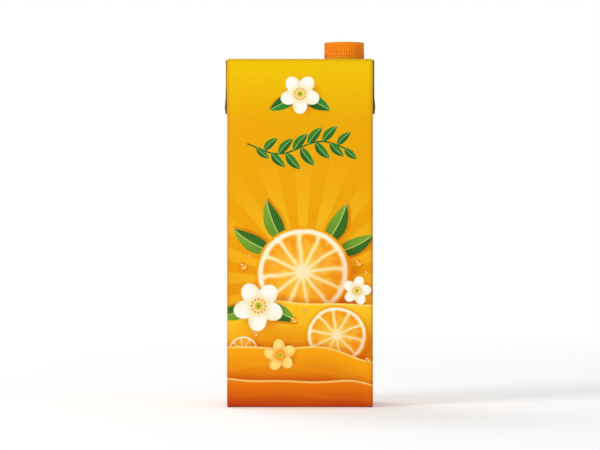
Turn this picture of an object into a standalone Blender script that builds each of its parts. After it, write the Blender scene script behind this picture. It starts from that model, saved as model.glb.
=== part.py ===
"""Shut brick carton for juice, with a ribbed screw cap on the front half of its top.

The carton is one blank of laminated board, so it is one solid: the box with soft folds and
full panels, the ears laid down on its sides, the seal fin that runs over the top and down both
ears, the flaps turned under the base, and the lap seam up the back. The closure is two
mouldings: the collar stuck on the top with its tamper band, and the cap.

Metres, +Z up. The front panel faces -Y, and the origin is under the middle of the pack, on the
surface that it stands on.
"""
import math

import bmesh
import bpy
from mathutils import Vector

MM = 0.001
MERGE = 0.01 * MM

# Pack, outside to outside
PACK_WIDTH = 95.0 * MM
PACK_DEPTH = 71.0 * MM
PACK_HEIGHT = 227.0 * MM
BASE_FOLD_Z = 0.15 * MM
FOLD_RADIUS = 1.5 * MM
FOLD_SEGMENTS = 3
HALF_WIDTH = PACK_WIDTH / 2
HALF_DEPTH = PACK_DEPTH / 2

# The panels of a full pack stand out a little between their folds
FACE_CROWN = 0.8 * MM
SIDE_CROWN = 0.3 * MM
TOP_SINK = 0.5 * MM
BASE_SINK = 1.0 * MM
SINK_START = 1.0 * MM
SINK_END = 3.0 * MM
GRID_CUTS = {"X": 7, "Y": 5, "Z": 11}

# Folded layers of board
BOARD = 0.45 * MM
FLAP_THICKNESS = 2 * BOARD
ROOT = 0.9 * MM
EAR_TIP_HALF = 0.5 * MM
EAR_FLARE = 1.0 * MM
EAR_FLARE_LENGTH = 12.0 * MM
FLARE_CUTS = 5
EAR_TIP_STUCK = 0.8
EAR_TIP_RUN = 6.0 * MM
EAR_ROOT_RUN = 3.0 * MM
FIN_WIDTH = 8.0 * MM
FIN_THICKNESS = 0.8 * MM
LAYER_EDGE = 0.12 * MM

# Ears and fin are laid out level with the top, and bent down about a line inside the side fold.
# Unfolded, a point of the seal is half the depth out from the side, less a trimmed edge.
SEAL_TRIM = 1.0 * MM
TOP_Z = PACK_HEIGHT - TOP_SINK
EAR_LEVEL = TOP_Z - 0.05 * MM
FIN_LEVEL = TOP_Z + FIN_THICKNESS
BEND_RADIUS = 1.2 * MM
BEND_ARC = BEND_RADIUS * math.pi / 2
BEND_CUTS = 3
BEND_X = HALF_WIDTH + FLAP_THICKNESS - BEND_RADIUS
BEND_Z = EAR_LEVEL - BEND_RADIUS
SEAL_END_X = HALF_WIDTH + HALF_DEPTH - SEAL_TRIM
EAR_TIP_Z = BEND_Z - (SEAL_END_X - BEND_X - BEND_ARC)

# Flaps under the base
BASE_FLAP_APEX_X = 12.0 * MM
BASE_FLAP_INSET = 0.5 * MM
BASE_FIN_Z = 0.4 * MM

# Lap seam up the back panel and over the back half of the top
SEAM_WIDTH = 9.0 * MM
SEAM_X = 37.0 * MM
SEAM_PROUD = 0.4 * MM
SEAM_CUTS = 11

# Closure
CLOSURE_X = 29.0 * MM
CLOSURE_Y = -17.9 * MM
CONTACT_GAP = 0.3 * MM
COLLAR_RADIUS = 15.8 * MM
COLLAR_THICKNESS = 0.8 * MM
COLLAR_ROUND = 0.3 * MM
BAND_RADIUS = 13.05 * MM
BAND_TAPER = 0.5 * MM
BAND_HEIGHT = 1.2 * MM
BAND_ROUND = 0.2 * MM
CAP_HEIGHT = 9.2 * MM
CAP_RADIUS_TOP = 12.95 * MM
CAP_RADIUS_BASE = 13.1 * MM
CAP_TOP_ROUND = 1.0 * MM
CAP_DISH_RADIUS = 9.6 * MM
CAP_DISH_DEPTH = 0.25 * MM
CAP_SMOOTH_RING = 1.6 * MM
CAP_BASE_LIP = 0.5 * MM
RIB_COUNT = 48
RIB_DEPTH = 0.4 * MM
STEPS_PER_RIB = 4
COLLAR_STEPS = 72

SMOOTH_ANGLE = math.radians(32)


def clear_scene():
    for old in list(bpy.data.objects):
        bpy.data.objects.remove(old, do_unlink=True)


def make_material(name, colour, roughness):
    material = bpy.data.materials.new(name)
    material.use_nodes = True
    shader = material.node_tree.nodes["Principled BSDF"]
    shader.inputs["Base Color"].default_value = (*colour, 1.0)
    shader.inputs["Roughness"].default_value = roughness
    shader.inputs["Metallic"].default_value = 0.0
    return material


def smooth_step(value):
    value = min(max(value, 0.0), 1.0)
    return value * value * (3.0 - 2.0 * value)


def crown_point(point):
    """Moves a point of the box, or of a layer on it, out with the panel under it."""
    across = max(1.0 - (point.x / HALF_WIDTH) ** 2, 0.0)
    deep = max(1.0 - (point.y / HALF_DEPTH) ** 2, 0.0)
    up = max(1.0 - (2.0 * point.z / PACK_HEIGHT - 1.0) ** 4, 0.0)
    moved = point.copy()
    if abs(point.y) > HALF_DEPTH - FOLD_RADIUS:
        moved.y += math.copysign(FACE_CROWN * across * up, point.y)
    if abs(point.x) > HALF_WIDTH - FOLD_RADIUS:
        moved.x += math.copysign(SIDE_CROWN * deep * up, point.x)
    return moved


def sink_point(point):
    """Lowers the top, and lifts the base, between their front and back folds."""
    inward = HALF_DEPTH - abs(point.y)
    share = smooth_step((inward - SINK_START) / (SINK_END - SINK_START))
    moved = point.copy()
    if point.z > PACK_HEIGHT - FOLD_RADIUS:
        moved.z -= TOP_SINK * share
    if point.z < BASE_FOLD_Z + FOLD_RADIUS:
        moved.z += BASE_SINK * share
    return moved


def cut_across(mesh, axis, places):
    """Cuts the whole mesh square to an axis at each of the places along it."""
    normal = Vector((axis == "X", axis == "Y", axis == "Z"))
    for place in places:
        bmesh.ops.bisect_plane(
            mesh,
            geom=mesh.verts[:] + mesh.edges[:] + mesh.faces[:],
            dist=MERGE,
            plane_co=normal * place,
            plane_no=normal,
        )


def spread(low, high, count):
    return [low + (high - low) * (step + 1) / (count + 1) for step in range(count)]


def make_block(low, high):
    """A box between two corners, as a bmesh."""
    mesh = bmesh.new()
    bmesh.ops.create_cube(mesh, size=1.0)
    size = [far - near for near, far in zip(low, high)]
    middle = [(far + near) / 2 for near, far in zip(low, high)]
    bmesh.ops.scale(mesh, vec=size, verts=mesh.verts)
    bmesh.ops.translate(mesh, vec=middle, verts=mesh.verts)
    return mesh


def round_edges(mesh, edges, radius, segments):
    bmesh.ops.bevel(
        mesh,
        geom=edges,
        offset=radius,
        offset_type="OFFSET",
        affect="EDGES",
        segments=segments,
        profile=0.5,
        material=-1,
        clamp_overlap=True,
    )


def move_points(mesh, rule):
    for vert in mesh.verts:
        vert.co = rule(vert.co)


def finish_object(name, mesh, material, collection):
    """Turns a bmesh into an object with smooth round stretches and sharp folds."""
    data = bpy.data.meshes.new(name)
    bmesh.ops.recalc_face_normals(mesh, faces=mesh.faces)
    mesh.to_mesh(data)
    mesh.free()
    data.shade_smooth()
    data.set_sharp_from_angle(angle=SMOOTH_ANGLE)
    data.materials.append(material)
    piece = bpy.data.objects.new(name, data)
    collection.objects.link(piece)
    return piece


def make_box(material, collection):
    """The box itself: soft folds all round, crowned panels, sunk top and base."""
    mesh = make_block((-HALF_WIDTH, -HALF_DEPTH, BASE_FOLD_Z), (HALF_WIDTH, HALF_DEPTH, PACK_HEIGHT))
    round_edges(mesh, mesh.edges[:], FOLD_RADIUS, FOLD_SEGMENTS)
    rims = [sign * (HALF_DEPTH - inset) for sign in (-1, 1) for inset in (SINK_START + MERGE, SINK_END)]
    cut_across(mesh, "X", spread(-HALF_WIDTH, HALF_WIDTH, GRID_CUTS["X"]))
    cut_across(mesh, "Y", spread(-HALF_DEPTH, HALF_DEPTH, GRID_CUTS["Y"]) + rims)
    cut_across(mesh, "Z", spread(0.0, PACK_HEIGHT, GRID_CUTS["Z"]))
    move_points(mesh, sink_point)
    move_points(mesh, crown_point)
    return finish_object("carton", mesh, material, collection)


def fold_over_side(point):
    """Bends a level layer down over the side fold of the top, its length kept."""
    run = abs(point.x) - BEND_X
    if run <= 0.0:
        return point
    radius = point.z - BEND_Z
    turn = min(run / BEND_RADIUS, math.pi / 2)
    drop = max(run - BEND_ARC, 0.0)
    reach = BEND_X + radius * math.sin(turn)
    return Vector((math.copysign(reach, point.x), point.y, BEND_Z + radius * math.cos(turn) - drop))


def flare_point(point):
    """Lifts the end of an ear away from the side panel, but for its point, which is stuck down."""
    if abs(point.x) < HALF_WIDTH - ROOT:
        return point
    above_tip = point.z - EAR_TIP_Z
    share = smooth_step(1.0 - above_tip / EAR_FLARE_LENGTH)
    stuck = 1.0 - EAR_TIP_STUCK * smooth_step(1.0 - above_tip / EAR_TIP_RUN)
    return point + Vector((math.copysign(EAR_FLARE * share * stuck, point.x), 0.0, 0.0))


def bend_places():
    """Where a layer that goes over the side fold needs cuts, along its own length."""
    bend = [BEND_X] + spread(BEND_X, BEND_X + BEND_ARC, BEND_CUTS) + [BEND_X + BEND_ARC]
    flare_start = SEAL_END_X - EAR_FLARE_LENGTH
    return bend + [flare_start] + spread(flare_start, SEAL_END_X, FLARE_CUTS)


def make_ear(side, material, collection):
    """A double triangle of board, level at its root, folded down on the side panel."""
    half_base = HALF_DEPTH - 0.5 * FOLD_RADIUS
    low_x, high_x = sorted((side * (HALF_WIDTH - EAR_ROOT_RUN), side * SEAL_END_X))
    mesh = make_block((low_x, -half_base, EAR_LEVEL - FLAP_THICKNESS - ROOT), (high_x, half_base, EAR_LEVEL))
    cut_across(mesh, "X", [side * place for place in bend_places()])

    def taper(point):
        run = max(abs(point.x) - BEND_X - BEND_ARC, 0.0)
        share = run / (SEAL_END_X - BEND_X - BEND_ARC)
        width = 1.0 - share * (1.0 - EAR_TIP_HALF / half_base)
        return Vector((point.x, point.y * width, point.z))

    move_points(mesh, taper)
    move_points(mesh, fold_over_side)
    move_points(mesh, flare_point)
    return finish_object(f"ear_{side:+d}", mesh, material, collection)


def make_fin(material, collection):
    """The flat seal: one narrow strip over the top and down both ears to their tips."""
    mesh = make_block((-SEAL_END_X, 0.0, TOP_Z - ROOT), (SEAL_END_X, FIN_WIDTH, FIN_LEVEL))
    upper = [edge for edge in mesh.edges if all(vert.co.z > FIN_LEVEL - MERGE for vert in edge.verts)]
    round_edges(mesh, upper, LAYER_EDGE, 1)
    cut_across(mesh, "X", [sign * place for sign in (-1, 1) for place in bend_places()])
    move_points(mesh, fold_over_side)
    move_points(mesh, flare_point)
    return finish_object("fin", mesh, material, collection)


def make_base_flap(side, material, collection):
    """A triangle of board turned under the base, its point towards the middle."""
    outer_x = HALF_WIDTH - 0.1 * MM
    half_base = HALF_DEPTH - BASE_FLAP_INSET
    low_x, high_x = sorted((side * BASE_FLAP_APEX_X, side * outer_x))
    mesh = make_block((low_x, -half_base, 0.0), (high_x, half_base, BASE_SINK + ROOT))
    folds = [edge for edge in mesh.edges
             if all(abs(vert.co.x) > outer_x - MERGE and vert.co.z < MERGE for vert in edge.verts)]
    round_edges(mesh, folds, FLAP_THICKNESS, FOLD_SEGMENTS)

    def taper(point):
        share = (outer_x - abs(point.x)) / (outer_x - BASE_FLAP_APEX_X)
        width = 1.0 - share * (1.0 - EAR_TIP_HALF / half_base)
        return Vector((point.x, point.y * width, point.z))

    move_points(mesh, taper)
    return finish_object(f"base_flap_{side:+d}", mesh, material, collection)


def make_base_fin(material, collection):
    """The lower seal, which shows between the points of the two flaps."""
    reach = BASE_FLAP_APEX_X + FIN_WIDTH
    mesh = make_block((-reach, -FIN_WIDTH, BASE_FIN_Z), (reach, 0.0, BASE_SINK + ROOT))
    return finish_object("base_fin", mesh, material, collection)


def make_seam(material, collection):
    """The lap seam up the back panel, which follows its crown."""
    low = (SEAM_X - SEAM_WIDTH / 2, HALF_DEPTH - FOLD_RADIUS / 2, BASE_FOLD_Z + FOLD_RADIUS)
    high = (SEAM_X + SEAM_WIDTH / 2, HALF_DEPTH + SEAM_PROUD, PACK_HEIGHT - FOLD_RADIUS)
    mesh = make_block(low, high)
    outer = [edge for edge in mesh.edges if all(vert.co.y > HALF_DEPTH for vert in edge.verts)]
    round_edges(mesh, outer, LAYER_EDGE, 1)
    cut_across(mesh, "Z", spread(0.0, PACK_HEIGHT, SEAM_CUTS))
    move_points(mesh, crown_point)
    return finish_object("seam_back", mesh, material, collection)


def make_seam_top(material, collection):
    """The same seam where it goes on over the back half of the top, up to the fin."""
    low = (SEAM_X - SEAM_WIDTH / 2, FIN_WIDTH / 2, TOP_Z - ROOT)
    high = (SEAM_X + SEAM_WIDTH / 2, HALF_DEPTH - SINK_END, TOP_Z + SEAM_PROUD)
    return finish_object("seam_top", make_block(low, high), material, collection)


def join_layers(box, layers):
    """One Boolean union of the box with the collection that holds its layers."""
    union = box.modifiers.new("layers", "BOOLEAN")
    union.operation = "UNION"
    union.operand_type = "COLLECTION"
    union.collection = layers
    union.solver = "EXACT"
    graph = bpy.context.evaluated_depsgraph_get()
    joined = bpy.data.meshes.new_from_object(box.evaluated_get(graph))
    box.modifiers.clear()
    box.data = joined
    for layer in list(layers.objects):
        bpy.data.objects.remove(layer, do_unlink=True)
    bpy.data.collections.remove(layers)


def turned_piece(name, profile, steps, material, collection):
    """Turns a profile of (radius, height) pairs about Z, from its top centre down."""
    data = bpy.data.meshes.new(name)
    links = [(step, step + 1) for step in range(len(profile) - 1)]
    data.from_pydata([(radius, 0.0, height) for radius, height in profile], links, [])
    piece = bpy.data.objects.new(name, data)
    collection.objects.link(piece)
    screw = piece.modifiers.new("turn", "SCREW")
    screw.axis = "Z"
    screw.steps = steps
    screw.render_steps = steps
    screw.use_merge_vertices = True
    screw.merge_threshold = MERGE
    graph = bpy.context.evaluated_depsgraph_get()
    turned = bpy.data.meshes.new_from_object(piece.evaluated_get(graph))
    piece.modifiers.clear()
    piece.data = turned
    turned.materials.append(material)
    return piece


def rounded_corner(radius, height, size, segments):
    """Profile points round an outer upper corner, from the top face to the wall."""
    points = []
    for step in range(segments + 1):
        turn = math.pi / 2 * step / segments
        points.append((radius - size + size * math.sin(turn), height - size + size * math.cos(turn)))
    return points


def make_collar(material, collection):
    """The flange stuck on the top, and the tamper band on it, which narrows towards its foot."""
    band_top = COLLAR_THICKNESS + BAND_HEIGHT
    profile = [(0.0, band_top)]
    profile += rounded_corner(BAND_RADIUS, band_top, BAND_ROUND, 2)
    profile += [(BAND_RADIUS - BAND_TAPER, COLLAR_THICKNESS)]
    profile += rounded_corner(COLLAR_RADIUS, COLLAR_THICKNESS, COLLAR_ROUND, 3)
    profile += [(COLLAR_RADIUS, 0.0), (0.0, 0.0)]
    piece = turned_piece("spout_collar", profile, COLLAR_STEPS, material, collection)
    piece.location = (CLOSURE_X, CLOSURE_Y, TOP_Z + CONTACT_GAP)
    piece.data.shade_smooth()
    piece.data.set_sharp_from_angle(angle=SMOOTH_ANGLE)
    return piece


def make_cap(material, collection):
    """The screw cap: a turned body, its wall pushed in between evenly spaced ribs."""
    rib_top = CAP_HEIGHT - CAP_SMOOTH_RING
    profile = [(0.0, CAP_HEIGHT - CAP_DISH_DEPTH), (CAP_DISH_RADIUS, CAP_HEIGHT - CAP_DISH_DEPTH),
               (CAP_DISH_RADIUS + CAP_DISH_DEPTH, CAP_HEIGHT)]
    profile += rounded_corner(CAP_RADIUS_TOP, CAP_HEIGHT, CAP_TOP_ROUND, 4)
    profile += [(CAP_RADIUS_TOP, rib_top), (CAP_RADIUS_TOP, rib_top - RIB_DEPTH),
                (CAP_RADIUS_BASE, CAP_BASE_LIP + RIB_DEPTH), (CAP_RADIUS_BASE, CAP_BASE_LIP),
                (CAP_RADIUS_BASE, BAND_ROUND), (CAP_RADIUS_BASE - BAND_ROUND, 0.0), (0.0, 0.0)]
    steps = RIB_COUNT * STEPS_PER_RIB
    piece = turned_piece("screw_cap", profile, steps, material, collection)
    for vert in piece.data.vertices:
        step = round(math.atan2(vert.co.y, vert.co.x) / (2 * math.pi) * steps) % STEPS_PER_RIB
        in_rib_zone = CAP_BASE_LIP + MERGE < vert.co.z < rib_top - MERGE
        if in_rib_zone and step in (0, 1):
            radius = math.hypot(vert.co.x, vert.co.y)
            vert.co.x *= (radius - RIB_DEPTH) / radius
            vert.co.y *= (radius - RIB_DEPTH) / radius
    collar_top = TOP_Z + CONTACT_GAP + COLLAR_THICKNESS + BAND_HEIGHT
    piece.location = (CLOSURE_X, CLOSURE_Y, collar_top + CONTACT_GAP)
    piece.data.shade_smooth()
    piece.data.set_sharp_from_angle(angle=SMOOTH_ANGLE)
    return piece


def main():
    clear_scene()
    parts = bpy.data.collections.new("juice_carton")
    layers = bpy.data.collections.new("board_layers")
    bpy.context.scene.collection.children.link(parts)
    bpy.context.scene.collection.children.link(layers)
    board = make_material("printed_board", (0.83, 0.38, 0.01), 0.38)
    plastic = make_material("closure_plastic", (0.88, 0.22, 0.003), 0.35)

    box = make_box(board, parts)
    for side in (-1, 1):
        make_ear(side, board, layers)
        make_base_flap(side, board, layers)
    make_fin(board, layers)
    make_base_fin(board, layers)
    make_seam(board, layers)
    make_seam_top(board, layers)
    bpy.context.view_layer.update()
    join_layers(box, layers)
    make_collar(plastic, parts)
    make_cap(plastic, parts)


main()
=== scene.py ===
import math

import bmesh
import bpy
from mathutils import Matrix, Vector, noise


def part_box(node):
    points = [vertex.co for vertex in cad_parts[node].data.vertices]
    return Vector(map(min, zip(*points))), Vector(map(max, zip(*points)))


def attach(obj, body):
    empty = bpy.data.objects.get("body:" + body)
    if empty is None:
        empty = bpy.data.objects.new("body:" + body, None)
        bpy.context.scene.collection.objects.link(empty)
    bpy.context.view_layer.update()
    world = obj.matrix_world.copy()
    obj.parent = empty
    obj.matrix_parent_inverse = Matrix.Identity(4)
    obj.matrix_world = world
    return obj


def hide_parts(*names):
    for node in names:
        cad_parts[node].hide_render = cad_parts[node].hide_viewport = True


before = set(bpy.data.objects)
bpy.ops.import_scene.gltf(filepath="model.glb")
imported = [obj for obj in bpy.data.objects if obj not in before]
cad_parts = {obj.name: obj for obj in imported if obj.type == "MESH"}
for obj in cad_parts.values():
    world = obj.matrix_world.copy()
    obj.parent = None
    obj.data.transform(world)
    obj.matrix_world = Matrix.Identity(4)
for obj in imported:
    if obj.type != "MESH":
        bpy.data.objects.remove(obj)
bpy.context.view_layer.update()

MM = 0.001
MERGE = 0.005 * MM

# The pack, outside to outside
PACK_WIDTH = 95.0 * MM
PACK_DEPTH = 71.0 * MM
PACK_HEIGHT = 227.0 * MM
HALF_WIDTH = PACK_WIDTH / 2
HALF_DEPTH = PACK_DEPTH / 2
HALF_GIRTH = PACK_WIDTH + PACK_DEPTH
BASE_FOLD_Z = 0.15 * MM
FOLD_RADIUS = 1.5 * MM
FOLD_SEGMENTS = 4
FACE_CROWN = 0.8 * MM
SIDE_CROWN = 0.3 * MM
TOP_SINK = 0.5 * MM
BASE_SINK = 1.0 * MM
SINK_START = 1.0 * MM
SINK_END = 3.0 * MM
PANEL_GRID = 3.0 * MM
FLAT_X = HALF_WIDTH - FOLD_RADIUS
FLAT_Y = HALF_DEPTH - FOLD_RADIUS
FLAT_LOW_Z = BASE_FOLD_Z + FOLD_RADIUS
FLAT_HIGH_Z = PACK_HEIGHT - FOLD_RADIUS
PANEL_UNEVEN = 0.22
UNEVEN_PER_METRE = 28.0
BAKE_MARGIN = 1.5 * MM

# Folded layers of board
BOARD = 0.45 * MM
EAR_THICKNESS = 0.65 * MM
EAR_ROUND = 0.24 * MM
EAR_TIP_HALF = 0.5 * MM
EAR_FLARE = 1.0 * MM
EAR_FLARE_LENGTH = 12.0 * MM
EAR_TIP_STUCK = 0.8
EAR_TIP_RUN = 6.0 * MM
EAR_ROOT_RUN = 3.0 * MM
LAYER_GRID = 1.5 * MM
EDGE_FACING = 0.75
FIN_WIDTH = 8.0 * MM
FIN_THICKNESS = 0.8 * MM
FIN_RAMP = 0.9 * MM
FIN_ROOT = 0.3 * MM
FIN_STEEPER = 0.6
FIN_THIN_SHARE = 0.25
RAMP_CUTS = 6
PLY_GROOVE = 0.1 * MM
CUT_EDGE_ROUND = 0.06 * MM
SEAL_TRIM = 1.0 * MM
TOP_Z = PACK_HEIGHT - TOP_SINK
EAR_LEVEL = TOP_Z - 0.05 * MM
FIN_LEVEL = TOP_Z + FIN_THICKNESS
BEND_RADIUS = 1.2 * MM
BEND_ARC = BEND_RADIUS * math.pi / 2
BEND_CUTS = 4
BEND_X = HALF_WIDTH + 2 * BOARD - BEND_RADIUS
BEND_Z = EAR_LEVEL - BEND_RADIUS
SEAL_END_X = HALF_WIDTH + HALF_DEPTH - SEAL_TRIM
EAR_TIP_Z = BEND_Z - (SEAL_END_X - BEND_X - BEND_ARC)

# Flaps turned under the base, and the lower fin between their points
BASE_FLAP_APEX_X = 12.0 * MM
BASE_FLAP_OUTER_X = HALF_WIDTH - 0.1 * MM
BASE_FLAP_INSET = 0.5 * MM
BASE_FLAP_THICKNESS = 0.9 * MM
BASE_FIN_Z = 0.4 * MM

# Lap seam up the back: a cut edge at one side, a soft rise at the other
SEAM_CUT_X = 41.5 * MM
SEAM_SOFT_X = 32.5 * MM
SEAM_RAMP = 1.6 * MM
SEAM_PROUD = 0.38 * MM
SEAM_ROOT = 0.4 * MM
SEAM_SHIFT = 0.4 * MM
SEAM_THIN_SHARE = 0.35

# Closure, round the middle of the cap's own solid
CAP_LOW, CAP_HIGH = (Vector(corner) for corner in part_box("screw_cap"))
COLLAR_LOW, COLLAR_HIGH = (Vector(corner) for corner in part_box("spout_collar"))
CLOSURE_X = (CAP_LOW.x + CAP_HIGH.x) / 2
CLOSURE_Y = (CAP_LOW.y + CAP_HIGH.y) / 2
CAP_HEIGHT = CAP_HIGH.z - CAP_LOW.z
CAP_RADIUS_BASE = (CAP_HIGH.x - CAP_LOW.x) / 2
CAP_RADIUS_TOP = CAP_RADIUS_BASE - 0.15 * MM
CAP_TOP_ROUND = 1.0 * MM
CAP_SMOOTH_RING = 1.6 * MM
CAP_BASE_LIP = 0.5 * MM
RIB_COUNT = 48
RIB_DEPTH = 0.45 * MM
RIB_POWER = 1.8
RIB_FADE_TOP = 0.6 * MM
RIB_FADE_LOW = 0.3 * MM
RIB_ROWS = 8
STEPS_PER_RIB = 8
COLLAR_RADIUS = (COLLAR_HIGH.x - COLLAR_LOW.x) / 2
FLANGE_THICKNESS = 0.75 * MM
COLLAR_STEPS = 144
BAND_RADIUS = 13.05 * MM
BAND_TAPER = 0.5 * MM
BRIDGE_COUNT = 12
BRIDGE_WIDTH = 0.7 * MM
CONTACT = 0.02 * MM

CENTRE = Vector((0.0, 0.0, 0.0))
SMOOTH_ANGLE = math.radians(40)


def smooth_step(value):
    value = min(max(value, 0.0), 1.0)
    return value * value * (3.0 - 2.0 * value)


def spread(low, high, pitch):
    """Evenly spaced places between two ends, about a pitch apart, both ends left out."""
    count = max(round((high - low) / pitch), 1)
    return [low + (high - low) * step / count for step in range(1, count)]


def make_block(low, high):
    mesh = bmesh.new()
    bmesh.ops.create_cube(mesh, size=1.0)
    size = [far - near for near, far in zip(low, high)]
    middle = [(far + near) / 2 for near, far in zip(low, high)]
    bmesh.ops.scale(mesh, vec=size, verts=mesh.verts)
    bmesh.ops.translate(mesh, vec=middle, verts=mesh.verts)
    return mesh


def cut_across(mesh, axis, places):
    """Cuts the whole mesh square to an axis at each of the places along it."""
    normal = Vector((axis == "X", axis == "Y", axis == "Z"))
    for place in places:
        everything = mesh.verts[:] + mesh.edges[:] + mesh.faces[:]
        bmesh.ops.bisect_plane(mesh, geom=everything, dist=MERGE, plane_co=normal * place, plane_no=normal)


def round_edges(mesh, edges, radius, segments):
    bmesh.ops.bevel(mesh, geom=edges, offset=radius, offset_type="OFFSET", affect="EDGES", segments=segments,
                    profile=0.5, material=-1, clamp_overlap=True)


def edges_where(mesh, rule):
    """The edges with both ends where a rule says."""
    return [edge for edge in mesh.edges if all(rule(vert.co) for vert in edge.verts)]


def weld(mesh):
    """Joins points that a bevel or a cut left in one place, and turns every face outwards."""
    bmesh.ops.remove_doubles(mesh, verts=mesh.verts, dist=MERGE)
    bmesh.ops.recalc_face_normals(mesh, faces=mesh.faces)


def move_points(mesh, *rules):
    for rule in rules:
        for vert in mesh.verts:
            vert.co = rule(vert.co)


def lay_out(mesh, rule, layer_name="sheet"):
    """Writes each face corner's place on the flat blank, in metres, to a UV map."""
    layer = mesh.loops.layers.uv.new(layer_name)
    for face in mesh.faces:
        centre = face.calc_center_median()
        for corner in face.loops:
            corner[layer].uv = rule(corner.vert.co, centre)


def add_object(name, data):
    made = bpy.data.objects.new(name, data)
    bpy.context.scene.collection.objects.link(made)
    return made


def add_mesh(name, mesh, materials):
    data = bpy.data.meshes.new(name)
    mesh.to_mesh(data)
    mesh.free()
    for material in materials:
        data.materials.append(material)
    return add_object(name, data)


def finish_piece(name, mesh, materials, node="carton"):
    """Turns a bmesh into a piece that rides on the pack and stands for a node of it."""
    piece = add_mesh(name, mesh, materials)
    piece.data.shade_smooth()
    piece.data.set_sharp_from_angle(angle=SMOOTH_ANGLE)
    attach(piece, "root")
    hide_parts(node)


# The board box


def fold_run(along, across):
    """How far past a fold line a point of its rounded bend lies, on the flat blank."""
    return FOLD_RADIUS * (4.0 * math.atan2(along, across) / math.pi - 1.0)


def sheet_place(point, centre):
    """Where a point of the box lies on the blank: round the pack from the front, and up."""
    past_x = abs(centre.x) > FLAT_X
    past_y = abs(centre.y) > FLAT_Y
    over_x = max(abs(point.x) - FLAT_X, 0.0)
    over_y = max(abs(point.y) - FLAT_Y, 0.0)
    if past_x and past_y:
        run = HALF_WIDTH + fold_run(over_x, over_y)
    elif past_x:
        run = HALF_WIDTH + HALF_DEPTH - abs(point.y)
    else:
        run = abs(point.x)
    side = math.copysign(1.0, centre.x)
    if centre.y > 0.0 and 0.0 < centre.x < SEAM_CUT_X:
        run += HALF_GIRTH
        side = -1.0
    elif centre.y > 0.0:
        run = HALF_GIRTH - run

    over_top = point.z - FLAT_HIGH_Z
    under_base = FLAT_LOW_Z - point.z
    over_side = math.hypot(over_x, over_y)
    if not (past_x or past_y):
        inward = HALF_DEPTH - abs(point.y)
        up = PACK_HEIGHT + inward if centre.z > PACK_HEIGHT / 2 else BASE_FOLD_Z - inward
    elif over_top > 0.0:
        up = PACK_HEIGHT + fold_run(over_top, over_side)
    elif under_base > 0.0:
        up = BASE_FOLD_Z - fold_run(under_base, over_side)
    else:
        up = point.z
    return side * run, up


def bake_place(point, centre):
    """The same blank, scaled to fill a square map with a small margin."""
    size = 2 * (HALF_GIRTH + BAKE_MARGIN)
    run, up = sheet_place(point, centre)
    left = HALF_GIRTH + SEAM_CUT_X
    return (run + left + BAKE_MARGIN) / size, (up + HALF_DEPTH + BAKE_MARGIN) / size


def crown_point(point):
    """Moves a point out with the full panel under it, which is never quite even."""
    across = max(1.0 - (point.x / HALF_WIDTH) ** 2, 0.0)
    deep = max(1.0 - (point.y / HALF_DEPTH) ** 2, 0.0)
    up = max(1.0 - (2.0 * point.z / PACK_HEIGHT - 1.0) ** 4, 0.0)
    uneven = 1.0 - PANEL_UNEVEN * (0.5 + 0.5 * noise.noise(point * UNEVEN_PER_METRE))
    moved = point.copy()
    if abs(point.y) > FLAT_Y:
        moved.y += math.copysign(FACE_CROWN * across * up * uneven, point.y)
    if abs(point.x) > FLAT_X:
        moved.x += math.copysign(SIDE_CROWN * deep * up * uneven, point.x)
    return moved


def sink_point(point):
    """Lowers the top, and lifts the base, between their front and back folds."""
    inward = HALF_DEPTH - abs(point.y)
    share = smooth_step((inward - SINK_START) / (SINK_END - SINK_START))
    moved = point.copy()
    if point.z > FLAT_HIGH_Z:
        moved.z -= TOP_SINK * share
    if point.z < FLAT_LOW_Z:
        moved.z += BASE_SINK * share
    return moved


def make_pack_box(materials):
    mesh = make_block((-HALF_WIDTH, -HALF_DEPTH, BASE_FOLD_Z), (HALF_WIDTH, HALF_DEPTH, PACK_HEIGHT))
    round_edges(mesh, mesh.edges[:], FOLD_RADIUS, FOLD_SEGMENTS)
    cut_across(mesh, "X", spread(-FLAT_X, FLAT_X, PANEL_GRID) + [0.0, SEAM_CUT_X])
    cut_across(mesh, "Y", spread(-FLAT_Y, 0.0, PANEL_GRID) + [0.0] + spread(0.0, FLAT_Y, PANEL_GRID))
    cut_across(mesh, "Z", spread(FLAT_LOW_Z, FLAT_HIGH_Z, PANEL_GRID))
    weld(mesh)
    lay_out(mesh, sheet_place)
    lay_out(mesh, bake_place, "OFBake")
    move_points(mesh, sink_point, crown_point)
    finish_piece("pack_box", mesh, materials)


# Layers that go over the side folds


def fold_over_side(point):
    """Bends a level layer down over the side fold of the top, its length kept."""
    run = abs(point.x) - BEND_X
    if run <= 0.0:
        return point
    radius = point.z - BEND_Z
    turn = min(run / BEND_RADIUS, math.pi / 2)
    drop = max(run - BEND_ARC, 0.0)
    reach = BEND_X + radius * math.sin(turn)
    return Vector((math.copysign(reach, point.x), point.y, BEND_Z + radius * math.cos(turn) - drop))


def flare_point(point):
    """Lifts the end of an ear away from the side panel, but for its point, which is stuck down."""
    if abs(point.x) < HALF_WIDTH - BOARD:
        return point
    above_tip = point.z - EAR_TIP_Z
    share = smooth_step(1.0 - above_tip / EAR_FLARE_LENGTH)
    stuck = 1.0 - EAR_TIP_STUCK * smooth_step(1.0 - above_tip / EAR_TIP_RUN)
    return point + Vector((math.copysign(EAR_FLARE * share * stuck, point.x), 0.0, 0.0))


def layer_place(point, centre):
    """A level layer's place on the blank, where it goes on past the top's side fold."""
    return point.x, PACK_HEIGHT + HALF_DEPTH - abs(point.y)


def taper_points(mesh, start, tip, half_base):
    """Narrows a triangle of board from a start to its point, both given as distances from the middle."""
    for vert in mesh.verts:
        share = max((abs(vert.co.x) - start) / (tip - start), 0.0)
        vert.co.y *= 1.0 - share * (1.0 - EAR_TIP_HALF / half_base)


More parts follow.
